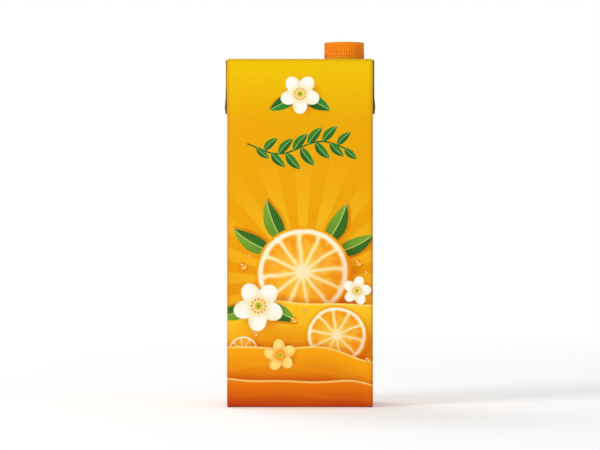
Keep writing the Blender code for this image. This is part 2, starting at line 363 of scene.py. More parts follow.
def bend_places():
    """Where a layer that goes over the side fold needs cuts, along its own length."""
    bend = [BEND_X + BEND_ARC * step / BEND_CUTS for step in range(BEND_CUTS + 1)]
    return bend + spread(BEND_X + BEND_ARC, SEAL_END_X, LAYER_GRID)


def mark_faces(mesh, slot, rule):
    """Gives the faces that a rule picks, such as those a knife made, another of the materials."""
    for face in mesh.faces:
        if rule(face.calc_center_median(), face.normal):
            face.material_index = slot


def make_ear(side, name, materials):
    """A double triangle of board folded down on the side panel, its end a little lifted."""
    half_base = HALF_DEPTH - 0.5 * FOLD_RADIUS
    low_x, high_x = sorted((side * (HALF_WIDTH - EAR_ROOT_RUN), side * SEAL_END_X))
    mesh = make_block((low_x, -half_base, EAR_LEVEL - EAR_THICKNESS), (high_x, half_base, EAR_LEVEL))
    taper_start = BEND_X + BEND_ARC
    cut_across(mesh, "X", [side * taper_start])
    taper_points(mesh, taper_start, SEAL_END_X, half_base)
    long_edges = [edge for edge in mesh.edges
                  if edge.verts[0].co.y * edge.verts[1].co.y > 0.0
                  and abs(edge.verts[0].co.x - edge.verts[1].co.x) > MERGE]
    round_edges(mesh, long_edges, EAR_ROUND, 3)
    cut_across(mesh, "X", [side * place for place in bend_places() if place != taper_start])
    cut_across(mesh, "Y", spread(-half_base, half_base, PANEL_GRID))
    weld(mesh)
    lay_out(mesh, layer_place)
    # Edge faces past the side fold take the third material, with its painted light and shade.
    mark_faces(mesh, 2, lambda centre, normal: abs(centre.x) > HALF_WIDTH and abs(normal.z) < EDGE_FACING)
    move_points(mesh, fold_over_side, flare_point)
    finish_piece(name, mesh, materials)


def make_fin(materials):
    """The flat seal. The front half of the top rises softly on to it, and its other edge is cut."""
    mesh = make_block((-SEAL_END_X, -FIN_RAMP, TOP_Z - FIN_ROOT), (SEAL_END_X, FIN_WIDTH, FIN_LEVEL))
    cut_edges = edges_where(mesh, lambda place: place.z > TOP_Z and place.y > FIN_WIDTH - MERGE)
    round_edges(mesh, cut_edges, CUT_EDGE_ROUND, 2)
    ply_z = TOP_Z + FIN_THICKNESS / 2
    cut_across(mesh, "Z", [ply_z - PLY_GROOVE, ply_z, ply_z + PLY_GROOVE])
    cut_across(mesh, "Y", [-FIN_RAMP * step / RAMP_CUTS for step in range(RAMP_CUTS)] + [FIN_WIDTH / 2])
    cut_across(mesh, "X", [sign * place for sign in (-1, 1) for place in bend_places()])
    cut_across(mesh, "X", spread(-BEND_X, BEND_X, LAYER_GRID))
    weld(mesh)
    lay_out(mesh, layer_place)
    mark_faces(mesh, 1, lambda centre, normal: centre.y > FIN_WIDTH - CUT_EDGE_ROUND
               or abs(centre.x) > SEAL_END_X - MERGE)
    # The seal's front faces down the ears take the third material, with its painted shade.
    mark_faces(mesh, 2, lambda centre, normal: centre.y < 0.0 and abs(centre.x) > BEND_X + BEND_ARC)

    def shape(point):
        rise = smooth_step(1.0 + min(point.y, 0.0) / FIN_RAMP)
        thick = FIN_THIN_SHARE + (1.0 - FIN_THIN_SHARE) * rise
        height = TOP_Z - FIN_ROOT + (point.z - TOP_Z + FIN_ROOT) * thick
        on_groove = point.y > FIN_WIDTH - MERGE and abs(point.z - ply_z) < MERGE
        down_ear = smooth_step((abs(point.x) - BEND_X) / BEND_ARC)
        across = point.y * (1.0 - FIN_STEEPER * down_ear) if point.y < 0.0 else point.y
        return Vector((point.x, across - PLY_GROOVE * on_groove, height))

    move_points(mesh, shape, fold_over_side, flare_point)
    finish_piece("seal_fin", mesh, materials)


def make_lap_seam(materials):
    """The outer end of the blank, stuck over its other end on the back and on the top."""
    bend_length = FOLD_RADIUS * math.pi / 2
    end = FLAT_HIGH_Z + bend_length + FLAT_Y - FIN_WIDTH / 2
    low_x = SEAM_SOFT_X - SEAM_RAMP
    mesh = make_block((low_x, HALF_DEPTH - SEAM_ROOT, FLAT_LOW_Z), (SEAM_CUT_X, HALF_DEPTH + SEAM_PROUD, end))
    cut_edges = edges_where(mesh, lambda place: place.x > SEAM_CUT_X - MERGE and place.y > HALF_DEPTH)
    round_edges(mesh, cut_edges, CUT_EDGE_ROUND, 2)
    cut_across(mesh, "X", spread(low_x, SEAM_SOFT_X, SEAM_RAMP / 5))
    cut_across(mesh, "X", [SEAM_SOFT_X, (SEAM_SOFT_X + SEAM_CUT_X) / 2])
    cut_across(mesh, "Z", spread(FLAT_LOW_Z, FLAT_HIGH_Z, PANEL_GRID))
    cut_across(mesh, "Z", [FLAT_HIGH_Z + bend_length * step / BEND_CUTS for step in range(BEND_CUTS + 1)])
    cut_across(mesh, "Z", spread(FLAT_HIGH_Z + bend_length, end, PANEL_GRID))
    weld(mesh)
    lay_out(mesh, lambda point, centre: (-HALF_GIRTH - point.x + SEAM_SHIFT, point.z))
    mark_faces(mesh, 1, lambda centre, normal: centre.x > SEAM_CUT_X - CUT_EDGE_ROUND)

    def shape(point):
        rise = smooth_step((point.x - low_x) / SEAM_RAMP)
        thick = SEAM_THIN_SHARE + (1.0 - SEAM_THIN_SHARE) * rise
        lift = -SEAM_ROOT + (point.y - HALF_DEPTH + SEAM_ROOT) * thick
        run = point.z - FLAT_HIGH_Z
        if run <= 0.0:
            return Vector((point.x, HALF_DEPTH + lift, point.z))
        turn = min(run / FOLD_RADIUS, math.pi / 2)
        inward = max(run - bend_length, 0.0)
        radius = FOLD_RADIUS + lift
        return Vector((point.x, FLAT_Y + radius * math.cos(turn) - inward,
                       FLAT_HIGH_Z + radius * math.sin(turn)))

    move_points(mesh, shape, sink_point, crown_point)
    finish_piece("lap_seam", mesh, materials)


def base_place(point, centre):
    return point.x, -HALF_DEPTH + abs(point.y)


def make_base_flap(side, name, materials):
    """A double triangle turned under the base, its point towards the middle."""
    half_base = HALF_DEPTH - BASE_FLAP_INSET
    low_x, high_x = sorted((side * BASE_FLAP_APEX_X, side * BASE_FLAP_OUTER_X))
    mesh = make_block((low_x, -half_base, 0.0), (high_x, half_base, BASE_SINK + BASE_FLAP_THICKNESS))
    fold = edges_where(mesh, lambda place: abs(place.x) > BASE_FLAP_OUTER_X - MERGE and place.z < MERGE)
    round_edges(mesh, fold, BASE_FLAP_THICKNESS, FOLD_SEGMENTS)
    taper_points(mesh, BASE_FLAP_OUTER_X, BASE_FLAP_APEX_X, half_base)
    slanted = [edge for edge in edges_where(mesh, lambda place: place.z < MERGE)
               if abs(edge.verts[0].co.x - edge.verts[1].co.x) > EAR_ROOT_RUN]
    round_edges(mesh, slanted, EAR_ROUND, 3)
    cut_across(mesh, "X", [side * place for place in spread(BASE_FLAP_APEX_X, BASE_FLAP_OUTER_X, LAYER_GRID)])
    weld(mesh)
    lay_out(mesh, base_place)
    finish_piece(name, mesh, materials)


def make_base_fin(materials):
    """The lower seal, which shows between the points of the two flaps."""
    reach = BASE_FLAP_APEX_X + FIN_WIDTH
    mesh = make_block((-reach, -FIN_WIDTH, BASE_FIN_Z), (reach, 0.0, BASE_SINK + BASE_FLAP_THICKNESS))
    low_edges = edges_where(mesh, lambda place: place.z < BASE_FIN_Z + MERGE)
    round_edges(mesh, low_edges, CUT_EDGE_ROUND, 2)
    cut_across(mesh, "X", spread(-reach, reach, LAYER_GRID))
    weld(mesh)
    lay_out(mesh, base_place)
    mark_faces(mesh, 1, lambda centre, normal: centre.y < -FIN_WIDTH + CUT_EDGE_ROUND)
    finish_piece("base_fin", mesh, materials)


# The closure


def turn_profile(profile, steps):
    """Spins (radius, height) pairs, listed from the top centre down, round Z."""
    mesh = bmesh.new()
    verts = [mesh.verts.new((radius, 0.0, height)) for radius, height in profile]
    edges = [mesh.edges.new(pair) for pair in zip(verts, verts[1:])]
    bmesh.ops.spin(mesh, geom=verts + edges, cent=CENTRE, axis=(0.0, 0.0, 1.0), angle=2 * math.pi,
                   steps=steps, use_merge=True, use_duplicate=False)
    weld(mesh)
    return mesh


def outer_corner(radius, height, size, segments):
    """Profile points round an upper outer corner, from the top face to the wall."""
    turns = [math.pi / 2 * step / segments for step in range(segments + 1)]
    return [(radius - size + size * math.sin(turn), height - size + size * math.cos(turn)) for turn in turns]


def place_closure(mesh, low_z):
    bmesh.ops.translate(mesh, vec=(CLOSURE_X, CLOSURE_Y, low_z), verts=mesh.verts)


def make_cap(materials):
    """The screw cap: rounded top with a shallow dish, and a wall with close round ribs."""
    rib_top = CAP_HEIGHT - CAP_SMOOTH_RING
    dish_radius = 9.6 * MM
    dish_depth = 0.25 * MM
    gate_radius = 0.9 * MM
    gate_height = 0.12 * MM
    dish_z = CAP_HEIGHT - dish_depth
    gate_z = dish_z + gate_height
    profile = [(0.0, gate_z), (gate_radius, gate_z), (gate_radius + gate_height, dish_z)]
    profile += [(dish_radius * share, dish_z) for share in (0.3, 0.6, 0.97)]
    profile += [(dish_radius, dish_z + 0.3 * dish_depth), (dish_radius + dish_depth, CAP_HEIGHT - 0.03 * MM)]
    profile += outer_corner(CAP_RADIUS_TOP, CAP_HEIGHT, CAP_TOP_ROUND, 8)
    rib_low = CAP_BASE_LIP
    for row in range(RIB_ROWS + 1):
        share = row / RIB_ROWS
        profile.append((CAP_RADIUS_TOP + (CAP_RADIUS_BASE - CAP_RADIUS_TOP) * share,
                        rib_top + (rib_low - rib_top) * share))
    profile += [(CAP_RADIUS_BASE, 0.12 * MM), (CAP_RADIUS_BASE - 0.04 * MM, 0.04 * MM),
                (CAP_RADIUS_BASE - 0.12 * MM, 0.0), (0.0, 0.0)]
    mesh = turn_profile(profile, RIB_COUNT * STEPS_PER_RIB)

    def rib(point):
        radius = math.hypot(point.x, point.y)
        if radius < CAP_RADIUS_TOP - MERGE or not rib_low - MERGE < point.z < rib_top + MERGE:
            return point
        run_out = min((rib_top - point.z) / RIB_FADE_TOP, (point.z - rib_low) / RIB_FADE_LOW, 1.0)
        wave = 0.5 + 0.5 * math.cos(RIB_COUNT * math.atan2(point.y, point.x))
        groove = RIB_DEPTH * smooth_step(run_out) * wave ** RIB_POWER
        scale = (radius - groove) / radius
        return Vector((point.x * scale, point.y * scale, point.z))

    move_points(mesh, rib)
    place_closure(mesh, CAP_LOW.z)
    finish_piece("cap", mesh, materials, "screw_cap")


def make_collar(materials):
    """The flange on the board and the tamper band, with its little bridges to the cap."""
    low_z = TOP_Z + CONTACT
    gap = 0.1 * MM
    flange_z = FLANGE_THICKNESS
    band_z = CAP_LOW.z - gap - low_z
    foot_radius = BAND_RADIUS - BAND_TAPER
    core_radius = 11.0 * MM
    profile = [(0.0, band_z), (core_radius, band_z)]
    profile += outer_corner(BAND_RADIUS, band_z, 0.1 * MM, 3)
    profile += [(BAND_RADIUS - 0.1 * BAND_TAPER, band_z - 0.5 * MM), (foot_radius, flange_z + 0.2 * MM),
                (foot_radius + 0.06 * MM, flange_z + 0.06 * MM), (foot_radius + 0.2 * MM, flange_z),
                (COLLAR_RADIUS - 1.4 * MM, flange_z - 0.06 * MM)]
    profile += outer_corner(COLLAR_RADIUS, flange_z - 0.1 * MM, 0.3 * MM, 6)
    profile += [(COLLAR_RADIUS, 0.1 * MM), (COLLAR_RADIUS - 0.1 * MM, 0.0), (0.0, 0.0)]
    mesh = turn_profile(profile, COLLAR_STEPS)
    for index in range(BRIDGE_COUNT):
        bridge = bmesh.ops.create_cube(mesh, size=1.0)["verts"]
        bmesh.ops.scale(mesh, vec=(0.5 * MM, BRIDGE_WIDTH, gap + 0.1 * MM), verts=bridge)
        bmesh.ops.translate(mesh, vec=(BAND_RADIUS - 0.45 * MM, 0.0, band_z + gap / 2), verts=bridge)
        turn = Matrix.Rotation(2 * math.pi * (index + 0.5) / BRIDGE_COUNT, 3, "Z")
        bmesh.ops.rotate(mesh, verts=bridge, cent=CENTRE, matrix=turn)
    place_closure(mesh, low_z)
    finish_piece("collar", mesh, materials, "spout_collar")


# Node building


def ink(red, green, blue):
    """A print colour given as screen values, as linear red, green, blue and alpha."""
    values = [value / 255 for value in (red, green, blue)]
    return tuple(v / 12.92 if v <= 0.04045 else ((v + 0.055) / 1.055) ** 2.4 for v in values) + (1.0,)


def sum_of(operation, swapped=False):
    """A method of Value that adds one math node."""
    def method(self, *others):
        return self.wiring.math(operation, *(others + (self,) if swapped else (self,) + others))
    return method


class Value:
    """A node's output. Sums written with it become math nodes."""

    def __init__(self, wiring, socket):
        self.wiring = wiring
        self.socket = socket

    __add__ = sum_of("ADD")
    __sub__ = sum_of("SUBTRACT")
    __rsub__ = sum_of("SUBTRACT", swapped=True)
    __mul__ = sum_of("MULTIPLY")
    __truediv__ = sum_of("DIVIDE")
    __rtruediv__ = sum_of("DIVIDE", swapped=True)
    __abs__ = sum_of("ABSOLUTE")
    scaled = sum_of("MULTIPLY_ADD")
    sine = sum_of("SINE")
    cosine = sum_of("COSINE")
    arctan2 = sum_of("ARCTAN2")
    fraction = sum_of("FRACT")
    at_least = sum_of("MAXIMUM")

    def cover(self, colour, value, low, high, last=1.0, first=0.0, blend="MIX"):
        """This colour with another one over it, softly from where a value is low to where it is high."""
        share = self.wiring.step(value, low, high, last, first)
        return self.wiring.mix(share, self, colour, blend)


class Wiring:
    """Adds nodes to one shader tree. What it is given may be a Value or a constant."""

    def __init__(self, tree):
        self.tree = tree

    def feed(self, made, values):
        """Sets or links a node's inputs, in order or by label."""
        for key, value in values.items() if isinstance(values, dict) else enumerate(values):
            if isinstance(value, Value):
                self.tree.links.new(value.socket, made.inputs[key])
            else:
                made.inputs[key].default_value = value

    def add(self, kind, values, **settings):
        made = self.tree.nodes.new("ShaderNode" + kind)
        for name, setting in settings.items():
            setattr(made, name, setting)
        self.feed(made, values)
        return made

    def node(self, kind, values=(), output=0, **settings):
        """Adds a node, and gives the Value of one output."""
        return Value(self, self.add(kind, values, **settings).outputs[output])

    def group(self, tree, **values):
        outputs = self.add("Group", values, node_tree=tree).outputs
        return {output.name: Value(self, output) for output in outputs}

    def math(self, operation, *values):
        return self.node("Math", values, operation=operation)

    def step(self, value, low, high, last=1.0, first=0.0):
        """A soft step from the first share to the last, as the value goes from low to high."""
        values = (value, low, high, first, last)
        return self.node("MapRange", values, interpolation_type="SMOOTHSTEP")

    def mix(self, share, first, second, blend="MIX"):
        values = {0: share, 6: first, 7: second}
        return self.node("Mix", values, output=2, data_type="RGBA", blend_type=blend)

    def ramp(self, value, stops):
        made = self.add("ValToRGB", (value,))
        points = made.color_ramp.elements
        while len(points) < len(stops):
            points.new(0.5)
        for point, (place, colour) in zip(points, stops):
            point.position = place
            point.color = ink(*colour)
        return Value(self, made.outputs[0])

    def split(self, vector):
        return [Value(self, output) for output in self.add("SeparateXYZ", (vector,)).outputs]

    def join(self, x, y):
        return self.node("CombineXYZ", (x, y))

    def distance(self, x, y, from_x=0.0, from_y=0.0):
        along = x - from_x if from_x else x
        across = y - from_y if from_y else y
        return self.math("SQRT", along.scaled(along, across * across))

    def noise(self, vector, scale, detail=2.0, roughness=0.5):
        values = {"Vector": vector, "Scale": scale, "Detail": detail, "Roughness": roughness}
        return self.node("TexNoise", values, noise_dimensions="3D")


class Group(Wiring):
    """A node group while it is wired. Its own inputs are in given, by label. Each has its socket's kind."""

    def __init__(self, name, inputs, outputs):
        super().__init__(bpy.data.node_groups.new(name, "ShaderNodeTree"))
        for sockets, way in ((inputs, "INPUT"), (outputs, "OUTPUT")):
            for label, kind in sockets.items():
                self.tree.interface.new_socket(name=label, in_out=way, socket_type="NodeSocket" + kind)
        start = self.tree.nodes.new("NodeGroupInput")
        self.given = {label: Value(self, start.outputs[label]) for label in inputs}

    def finish(self, **outputs):
        self.feed(self.tree.nodes.new("NodeGroupOutput"), outputs)
        return self.tree


# Print motifs. Each lies in its own unit place, and is laid on the colour under it.

# A motif's place takes in this much of the colour under it, far too little to show. So Cycles can't
# start on a motif before the one under it is done, and its stack never holds them all at once.
WAIT = 1e-12
SHADE = ink(208, 128, 56)
RAYS = 20.0
MEMBRANE = 0.018
PULP_START = 0.11
PULP_END = 0.86
RIND_START = 0.925
LEAF_BLUNTNESS = 0.85
LEAF_VEINS = 7.0
PETALS = 5
STAMENS = 12
STAMEN_RING = 0.27
# Times round the print, height and lead of each of the swells that make up a wave
SWELLS = [(1, 3.6 * MM, 0.0), (2, 3.0 * MM, 1.1), (3, 1.4 * MM, 2.3)]
PANEL_HALF_WIDTH = 27.0 * MM
PANEL_HALF_HEIGHT = 34.0 * MM
PANEL_CORNER = 3.0 * MM
PANEL_MARGIN = 2.8 * MM
PANEL_LINE = 0.16 * MM
PANEL_ROW = 5.5 * MM
PANEL_HEAD = 9.2 * MM
PANEL_COLUMN_X = 8.0 * MM


def start_print(name, **values):
    """A group that lays something on the colour under it. Run and Up wait until that is known."""
    w = Group(name, {"Under": "Color", "Run": "Float", "Up": "Float", **values}, {"Colour": "Color"})
    level = w.node("SeparateColor", (w.given["Under"],))
    run, up = [level.scaled(WAIT, w.given[label]) for label in ("Run", "Up")]
    return w, run, up


def start_motif(name, **values):
    """A group for a motif, with its unit place. X runs to the right and Y up before it is turned."""
    w, run, up = start_print(name, Centre="Vector", Turn="Vector", Size="Vector", **values)
    place = (w.join(run, up), *(w.given[label] for label in ("Centre", "Turn", "Size")))
    x, y, _ = w.split(w.node("Mapping", place, vector_type="TEXTURE"))
    return w, x, y


def shade_under(w, share):
    """The colour under a motif, with the motif's soft shadow on it."""
    return w.mix(share, w.given["Under"], SHADE, "MULTIPLY")


def sun_rays_group():
    """Pale rays that fan out from a middle and fade."""
    w, x, y = start_motif("sun_rays")
    radius = w.distance(x, y)
    fan = (y.arctan2(x) * RAYS).cosine()
    ray = w.step(fan, -0.12, 0.12) * w.step(radius, 1.0, 0.3, 0.42)
    return w.finish(Colour=w.mix(ray, w.given["Under"], ink(255, 206, 40)))


def citrus_wheel_group():
    """A wheel of segments in a light ring and a rind, with its thickness and shadow below it."""
    w, x, y = start_motif("citrus_wheel", Segments="Float")
    drift = w.noise(w.join(x, y), 1.7, 1.0) - 0.5
    radius = drift.scaled(0.05, w.distance(x, y))
    sector = 2 * math.pi / w.given["Segments"]
    angle = drift.scaled(0.25, y.arctan2(x))
    turns = angle / sector
    to_membrane = (0.5 - abs(turns.fraction() - 0.5)) * sector
    side_gap = radius * to_membrane.sine() - MEMBRANE
    inside = w.math("SMOOTH_MIN", side_gap, PULP_END - radius, 0.10)
    inside = w.math("SMOOTH_MIN", inside, radius - PULP_START, 0.06)

    cells = {"Vector": w.join(turns * 2.4, radius * 4.2), "Scale": 1.0}
    sacs = w.node("TexVoronoi", cells, "Distance", voronoi_dimensions="2D")
    fine = w.noise(w.join(turns * 5.0, radius * 5.0), 1.6, 3.0)
    pulp = w.ramp(radius, [(0.08, (255, 216, 104)), (0.35, (254, 194, 58)),
                           (0.65, (253, 176, 34)), (PULP_END, (248, 156, 18))])
    pulp = pulp.cover(ink(242, 138, 8), sacs, 0.2, 0.8, 0.5)
    pulp = pulp.cover(ink(255, 230, 150), fine, 0.56, 0.76, 0.5)
    pulp = pulp.cover(ink(255, 218, 116), inside, 0.0, 0.07, 0.0, 0.6)
    pith = w.ramp(radius, [(0.0, (255, 240, 196)), (0.3, (255, 230, 156)),
                           (0.8, (255, 234, 170)), (0.9, (255, 246, 218))])
    face = pith.cover(pulp, inside, 0.0, 0.025)
    rind = w.ramp(radius, [(0.93, (255, 208, 96)), (0.965, (250, 168, 28)), (1.0, (236, 136, 6))])
    face = face.cover(rind, radius, RIND_START, 0.94)
    face = face.cover(ink(236, 150, 60), x - y, -0.2, 1.5, 0.35, blend="MULTIPLY")

    skin = w.ramp(y.scaled(0.5, 0.5),
                  [(0.0, (204, 88, 4)), (0.3, (230, 120, 6)), (0.8, (244, 150, 14))])
    under = shade_under(w, w.step(w.distance(x, y, 0.12, -0.20), 1.22, 0.85, 0.6))
    under = under.cover(skin, w.distance(x, y, 0.035, -0.085), 1.0, 0.985)
    return w.finish(Colour=under.cover(face, radius, 1.0, 0.985))


def leaf_group():
    """A pointed leaf along its own X, one half lighter, with a rib, side veins and a shadow."""
    w, x, y = start_motif("leaf", Light="Color", Dark="Color", Width="Float", Bend="Float", Shadow="Float")
    dark = w.given["Dark"]

    def inside_leaf(along, across):
        squared = along * along
        off_rib = across - (0.5 - squared) * w.given["Bend"]
        taper = w.math("POWER", (1.0 - squared).at_least(0.0), LEAF_BLUNTNESS)
        half = taper * along.scaled(-0.22, 1.0) * w.given["Width"]
        past_tip = (squared - 1.0).at_least(0.0)
        return off_rib, half - abs(off_rib) - past_tip

    off_rib, inside = inside_leaf(x, y)
    to_rib = abs(off_rib)
    blade = dark.cover(w.given["Light"], off_rib, -0.015, 0.015)
    blade = blade.cover(dark, x, 0.9, -0.9, 0.45)
    vein = abs(((x - to_rib) * LEAF_VEINS).fraction() - 0.5)
    blade = blade.cover(ink(206, 222, 120), vein, 0.10, 0.0, 0.30)
    blade = blade.cover(ink(196, 214, 116), to_rib, 0.035, 0.012, 0.75)
    shadow = inside_leaf(x - 0.06, y + 0.10)[1]
    under = shade_under(w, w.step(shadow, -0.06, 0.08) * w.given["Shadow"])
    return w.finish(Colour=under.cover(blade, inside, 0.0, 0.03))


def blossom_group():
    """A flower with five round petals, a ring of stamens and a green heart."""
    w, x, y = start_motif("blossom", Light="Color", Deep="Color")
    deep = w.given["Deep"]
    radius = w.distance(x, y)

    def off_middle(count):
        """The angle from the middle of the nearest of some equal sectors."""
        sector = 2 * math.pi / count
        return ((y.arctan2(x) / sector).fraction() - 0.5) * sector

    turn = off_middle(PETALS)
    along = radius * turn.cosine()
    across = radius * turn.sine()
    outline = w.distance((along - 0.56) / 0.45, across / 0.37)
    petal = deep.cover(w.given["Light"], radius, 0.18, 0.62)
    petal = petal.cover(deep, across, -0.04, -0.36, 0.55)
    vein = abs((across * 18.0 / (along + 0.35)).sine())
    petal = petal.cover(deep, vein, 0.3, 0.0, 0.28)
    petal = petal.cover(deep, outline, 0.80, 1.0, 0.35)
    off_stamen = off_middle(STAMENS)
    stamen = w.distance(radius - STAMEN_RING, off_stamen * STAMEN_RING)
    petal = petal.cover(ink(240, 150, 6), stamen, 0.05, 0.035)
    heart = w.ramp(radius, [(0.03, (128, 150, 44)), (0.09, (196, 186, 60)), (0.17, (248, 206, 60))])
    petal = petal.cover(heart, radius, 0.18, 0.15)
    under = shade_under(w, w.step(w.distance(x, y, 0.08, -0.14), 1.08, 0.5, 0.55))
    shape = w.step(outline, 1.0, 0.96).at_least(w.step(radius, 0.2, 0.18))
    return w.finish(Colour=w.mix(shape, under, petal))


def drop_group():
    """A round drop of juice with a bright spot, a lit lower edge and a small shadow."""
    w, x, y = start_motif("juice_drop")
    radius = w.distance(x, y)
    fall = x.scaled(0.25, y.scaled(-0.4, 0.5))
    bead = w.ramp(fall, [(0.1, (230, 120, 4)), (0.55, (249, 164, 20)), (0.95, (255, 218, 110))])
    bead = bead.cover(ink(212, 98, 0), radius, 0.72, 1.0, 0.55)
    bead = bead.cover(ink(255, 252, 236), w.distance(x, y, -0.34, 0.38), 0.3, 0.12)
    bead = bead.cover(ink(255, 236, 170), w.distance(x, y, 0.36, -0.42), 0.4, 0.1, 0.6)
    under = shade_under(w, w.step(w.distance(x, y, 0.2, -0.3), 1.25, 0.7, 0.5))
    return w.finish(Colour=under.cover(bead, radius, 1.0, 0.9))


def juice_wave_group():
    """A wave of juice round the pack: a bright crest, drawn-out ripples and a deeper foot."""
    w, run, up = start_print(
        "juice_wave", Crest="Float", Phase="Float", Depth="Float", Light="Color", Deep="Color")
    light, phase = w.given["Light"], w.given["Phase"]
    once_round = 2 * math.pi / HALF_GIRTH
    swing = w.given["Crest"]
    for count, height, lead in SWELLS:
        angle = run.scaled(once_round * count, phase.scaled(count, lead))
        swing = angle.sine().scaled(height, swing)
    below = swing - up
    share = below / w.given["Depth"]
    juice = light.cover(w.given["Deep"], share, 0.0, 1.0)
    sway = run.scaled(2 * once_round, phase).sine()
    ripple = sway.scaled(1.6, share * 17.0).sine()
    fade = w.step(ripple, 0.2, 1.0) * w.step(share, 1.0, 0.1, 0.35)
    juice = w.mix(fade, juice, light)
    juice = juice.cover(ink(255, 230, 128), below, 1.9 * MM, 0.3 * MM, 0.8)
    under = shade_under(w, w.step(below, -5.0 * MM, 1.0 * MM, 0.5))
    return w.finish(Colour=under.cover(juice, below, 0.0, 0.25 * MM))


def ruled_panel_group():
    """A plain light panel with rounded corners, a green head band and thin rules."""
    w, x, y = start_motif("ruled_panel")
    over_x = abs(x) - (PANEL_HALF_WIDTH - PANEL_CORNER)
    over_y = abs(y) - (PANEL_HALF_HEIGHT - PANEL_CORNER)
    inside = PANEL_CORNER - w.distance(over_x.at_least(0.0), over_y.at_least(0.0))
    green = ink(24, 118, 44)
    panel = w.mix(w.step(inside, 0.5 * MM, 0.7 * MM), green, ink(255, 244, 206))
    rule = w.step(abs((y / PANEL_ROW).fraction() - 0.5), 0.05, 0.03)
    column = w.step(abs(x - PANEL_COLUMN_X), 1.5 * PANEL_LINE, 0.8 * PANEL_LINE)
    ruled = rule.at_least(column) * w.step(inside, PANEL_MARGIN, 1.1 * PANEL_MARGIN, 0.7)
    panel = w.mix(ruled, panel, green)
    panel = panel.cover(green, y - (PANEL_HALF_HEIGHT - PANEL_HEAD), 0.0, PANEL_LINE)
    return w.finish(Colour=w.given["Under"].cover(panel, inside, 0.0, PANEL_LINE))


def stem_group():
    """A thin stem that swings along its own X."""
    w, x, y = start_motif("stem")
    off_stem = abs(y - (x * STEM_TURN).sine())
    stem = w.step(off_stem, 0.16, 0.10) * w.step(abs(x), 1.12, 1.10)
    return w.finish(Colour=w.mix(stem, w.given["Under"], SPRIG_DARK))


# Layout of the print on the blank, in millimetres: round the pack from the middle of the front, and up.
# Half of the girth is printed twice, so the back matches the front and the sides match each other.

GREEN_LIGHT = ink(120, 166, 48)
GREEN_DARK = ink(44, 104, 28)
SPRIG_LIGHT = ink(30, 136, 50)
SPRIG_DARK = ink(4, 98, 36)
PETAL_WHITE = ink(255, 253, 242)
PETAL_CREAM = ink(246, 222, 150)
PETAL_GOLD = ink(255, 226, 130)
PETAL_AMBER = ink(246, 160, 26)

# The ground, clear yellow at the top and warmer below it: up, screen colour
GROUND = [(0, (206, 66, 8)), (30, (220, 100, 6)), (70, (236, 146, 4)), (112, (238, 162, 2)),
          (148, (237, 167, 2)), (186, (237, 170, 2)), (198, (238, 179, 2)), (210, (240, 188, 2)),
          (218, (241, 194, 2))]
# run, up, radius
SUN_RAYS = (2, 84, 92)
# run, up, and a size of one metre, so the panel is wired in metres
SIDE_PANEL = (83, 152, 1000)
# run, up, half length, turn in degrees, width share, bend
LEAVES_BEHIND = [(-31, 108, 15, 150, 0.38, 0.12), (-17, 121, 15, 112, 0.40, 0.10),
                 (24, 119, 15, 62, 0.40, -0.10), (36, 106, 14, 25, 0.38, -0.12),
                 (64, 100, 13, 135, 0.38, 0.12), (104, 98, 14, 40, 0.38, -0.12)]
LEAVES_AFLOAT = [(-43, 62, 12, 195, 0.42, 0.10), (-14, 61, 13, -20, 0.42, 0.12),
                 (108, 52, 11, -30, 0.40, 0.12)]
# run, up, radius, turn in degrees, segments
SUN_WHEELS = [(2, 88, 31, 7, 12), (83, 80, 24, 12, 10)]
FLOATING_WHEELS = [(24, 47, 20, -10, 10), (64, 38, 17, 15, 10), (-37, 37, 10, 20, 9)]
# run, up, radius, turn in degrees
BLOSSOMS = [(-27, 66, 16.5, 14), (37, 76, 9.5, 40), (102, 62, 12, 5)]
LOW_BLOSSOMS = [(-13, 34, 10.5, 60), (94, 30, 9, 20)]
# run, up, radius
DROPS = [(-37, 92, 2.6), (-33, 99, 1.4), (38, 94, 2.2), (43, 88, 1.3), (-4, 57, 2.2), (3, 63, 1.3),
         (-29, 48, 2.0), (112, 78, 2.4), (58, 66, 2.0), (44, 31, 1.8)]
# up, phase, depth, light colour, deep colour
BACK_WAVE = (66, 0.9, 34, ink(254, 198, 34), ink(236, 140, 4))
MIDDLE_WAVE = (38, 3.1, 30, ink(250, 168, 12), ink(216, 92, 6))
FRONT_WAVE = (16, 2.3, 21, ink(238, 122, 4), ink(188, 52, 8))
WHEEL_SQUEEZE = 0.96
EMBLEM_UP = 204
EMBLEM_RADIUS = 13
SPRIG_LEAVES = 13
SPRIG_LENGTH = 62
SPRIG_UP = 169
SPRIG_SWING = 4
STEM_TURN = 1.1 * math.pi


class Printing:
    """The print on the blank, laid down one motif after another."""

    def __init__(self, w, run, up, ground):
        self.w = w
        self.run = run
        self.up = up
        self.colour = ground

    def add(self, motif, **values):
        made = self.w.group(motif, Under=self.colour, Run=self.run, Up=self.up, **values)
        self.colour = made["Colour"]

    def lay(self, motif, run, up, size, turn=0.0, high=1.0, **values):
        """Lays a motif of a given half size at a place in millimetres. High is its height over its width."""
        self.add(motif, Centre=(run * MM, up * MM, 0.0), Turn=(0.0, 0.0, math.radians(turn)),
                 Size=(size * MM, high * size * MM, 1.0), **values)

    def lay_all(self, motif, places, labels=(), **values):
        """Lays a motif at each place: run, up, size, turn, and a value for each of the labels."""
        for run, up, size, turn, *own in places:
            self.lay(motif, run, up, size, turn, **values, **dict(zip(labels, own)))


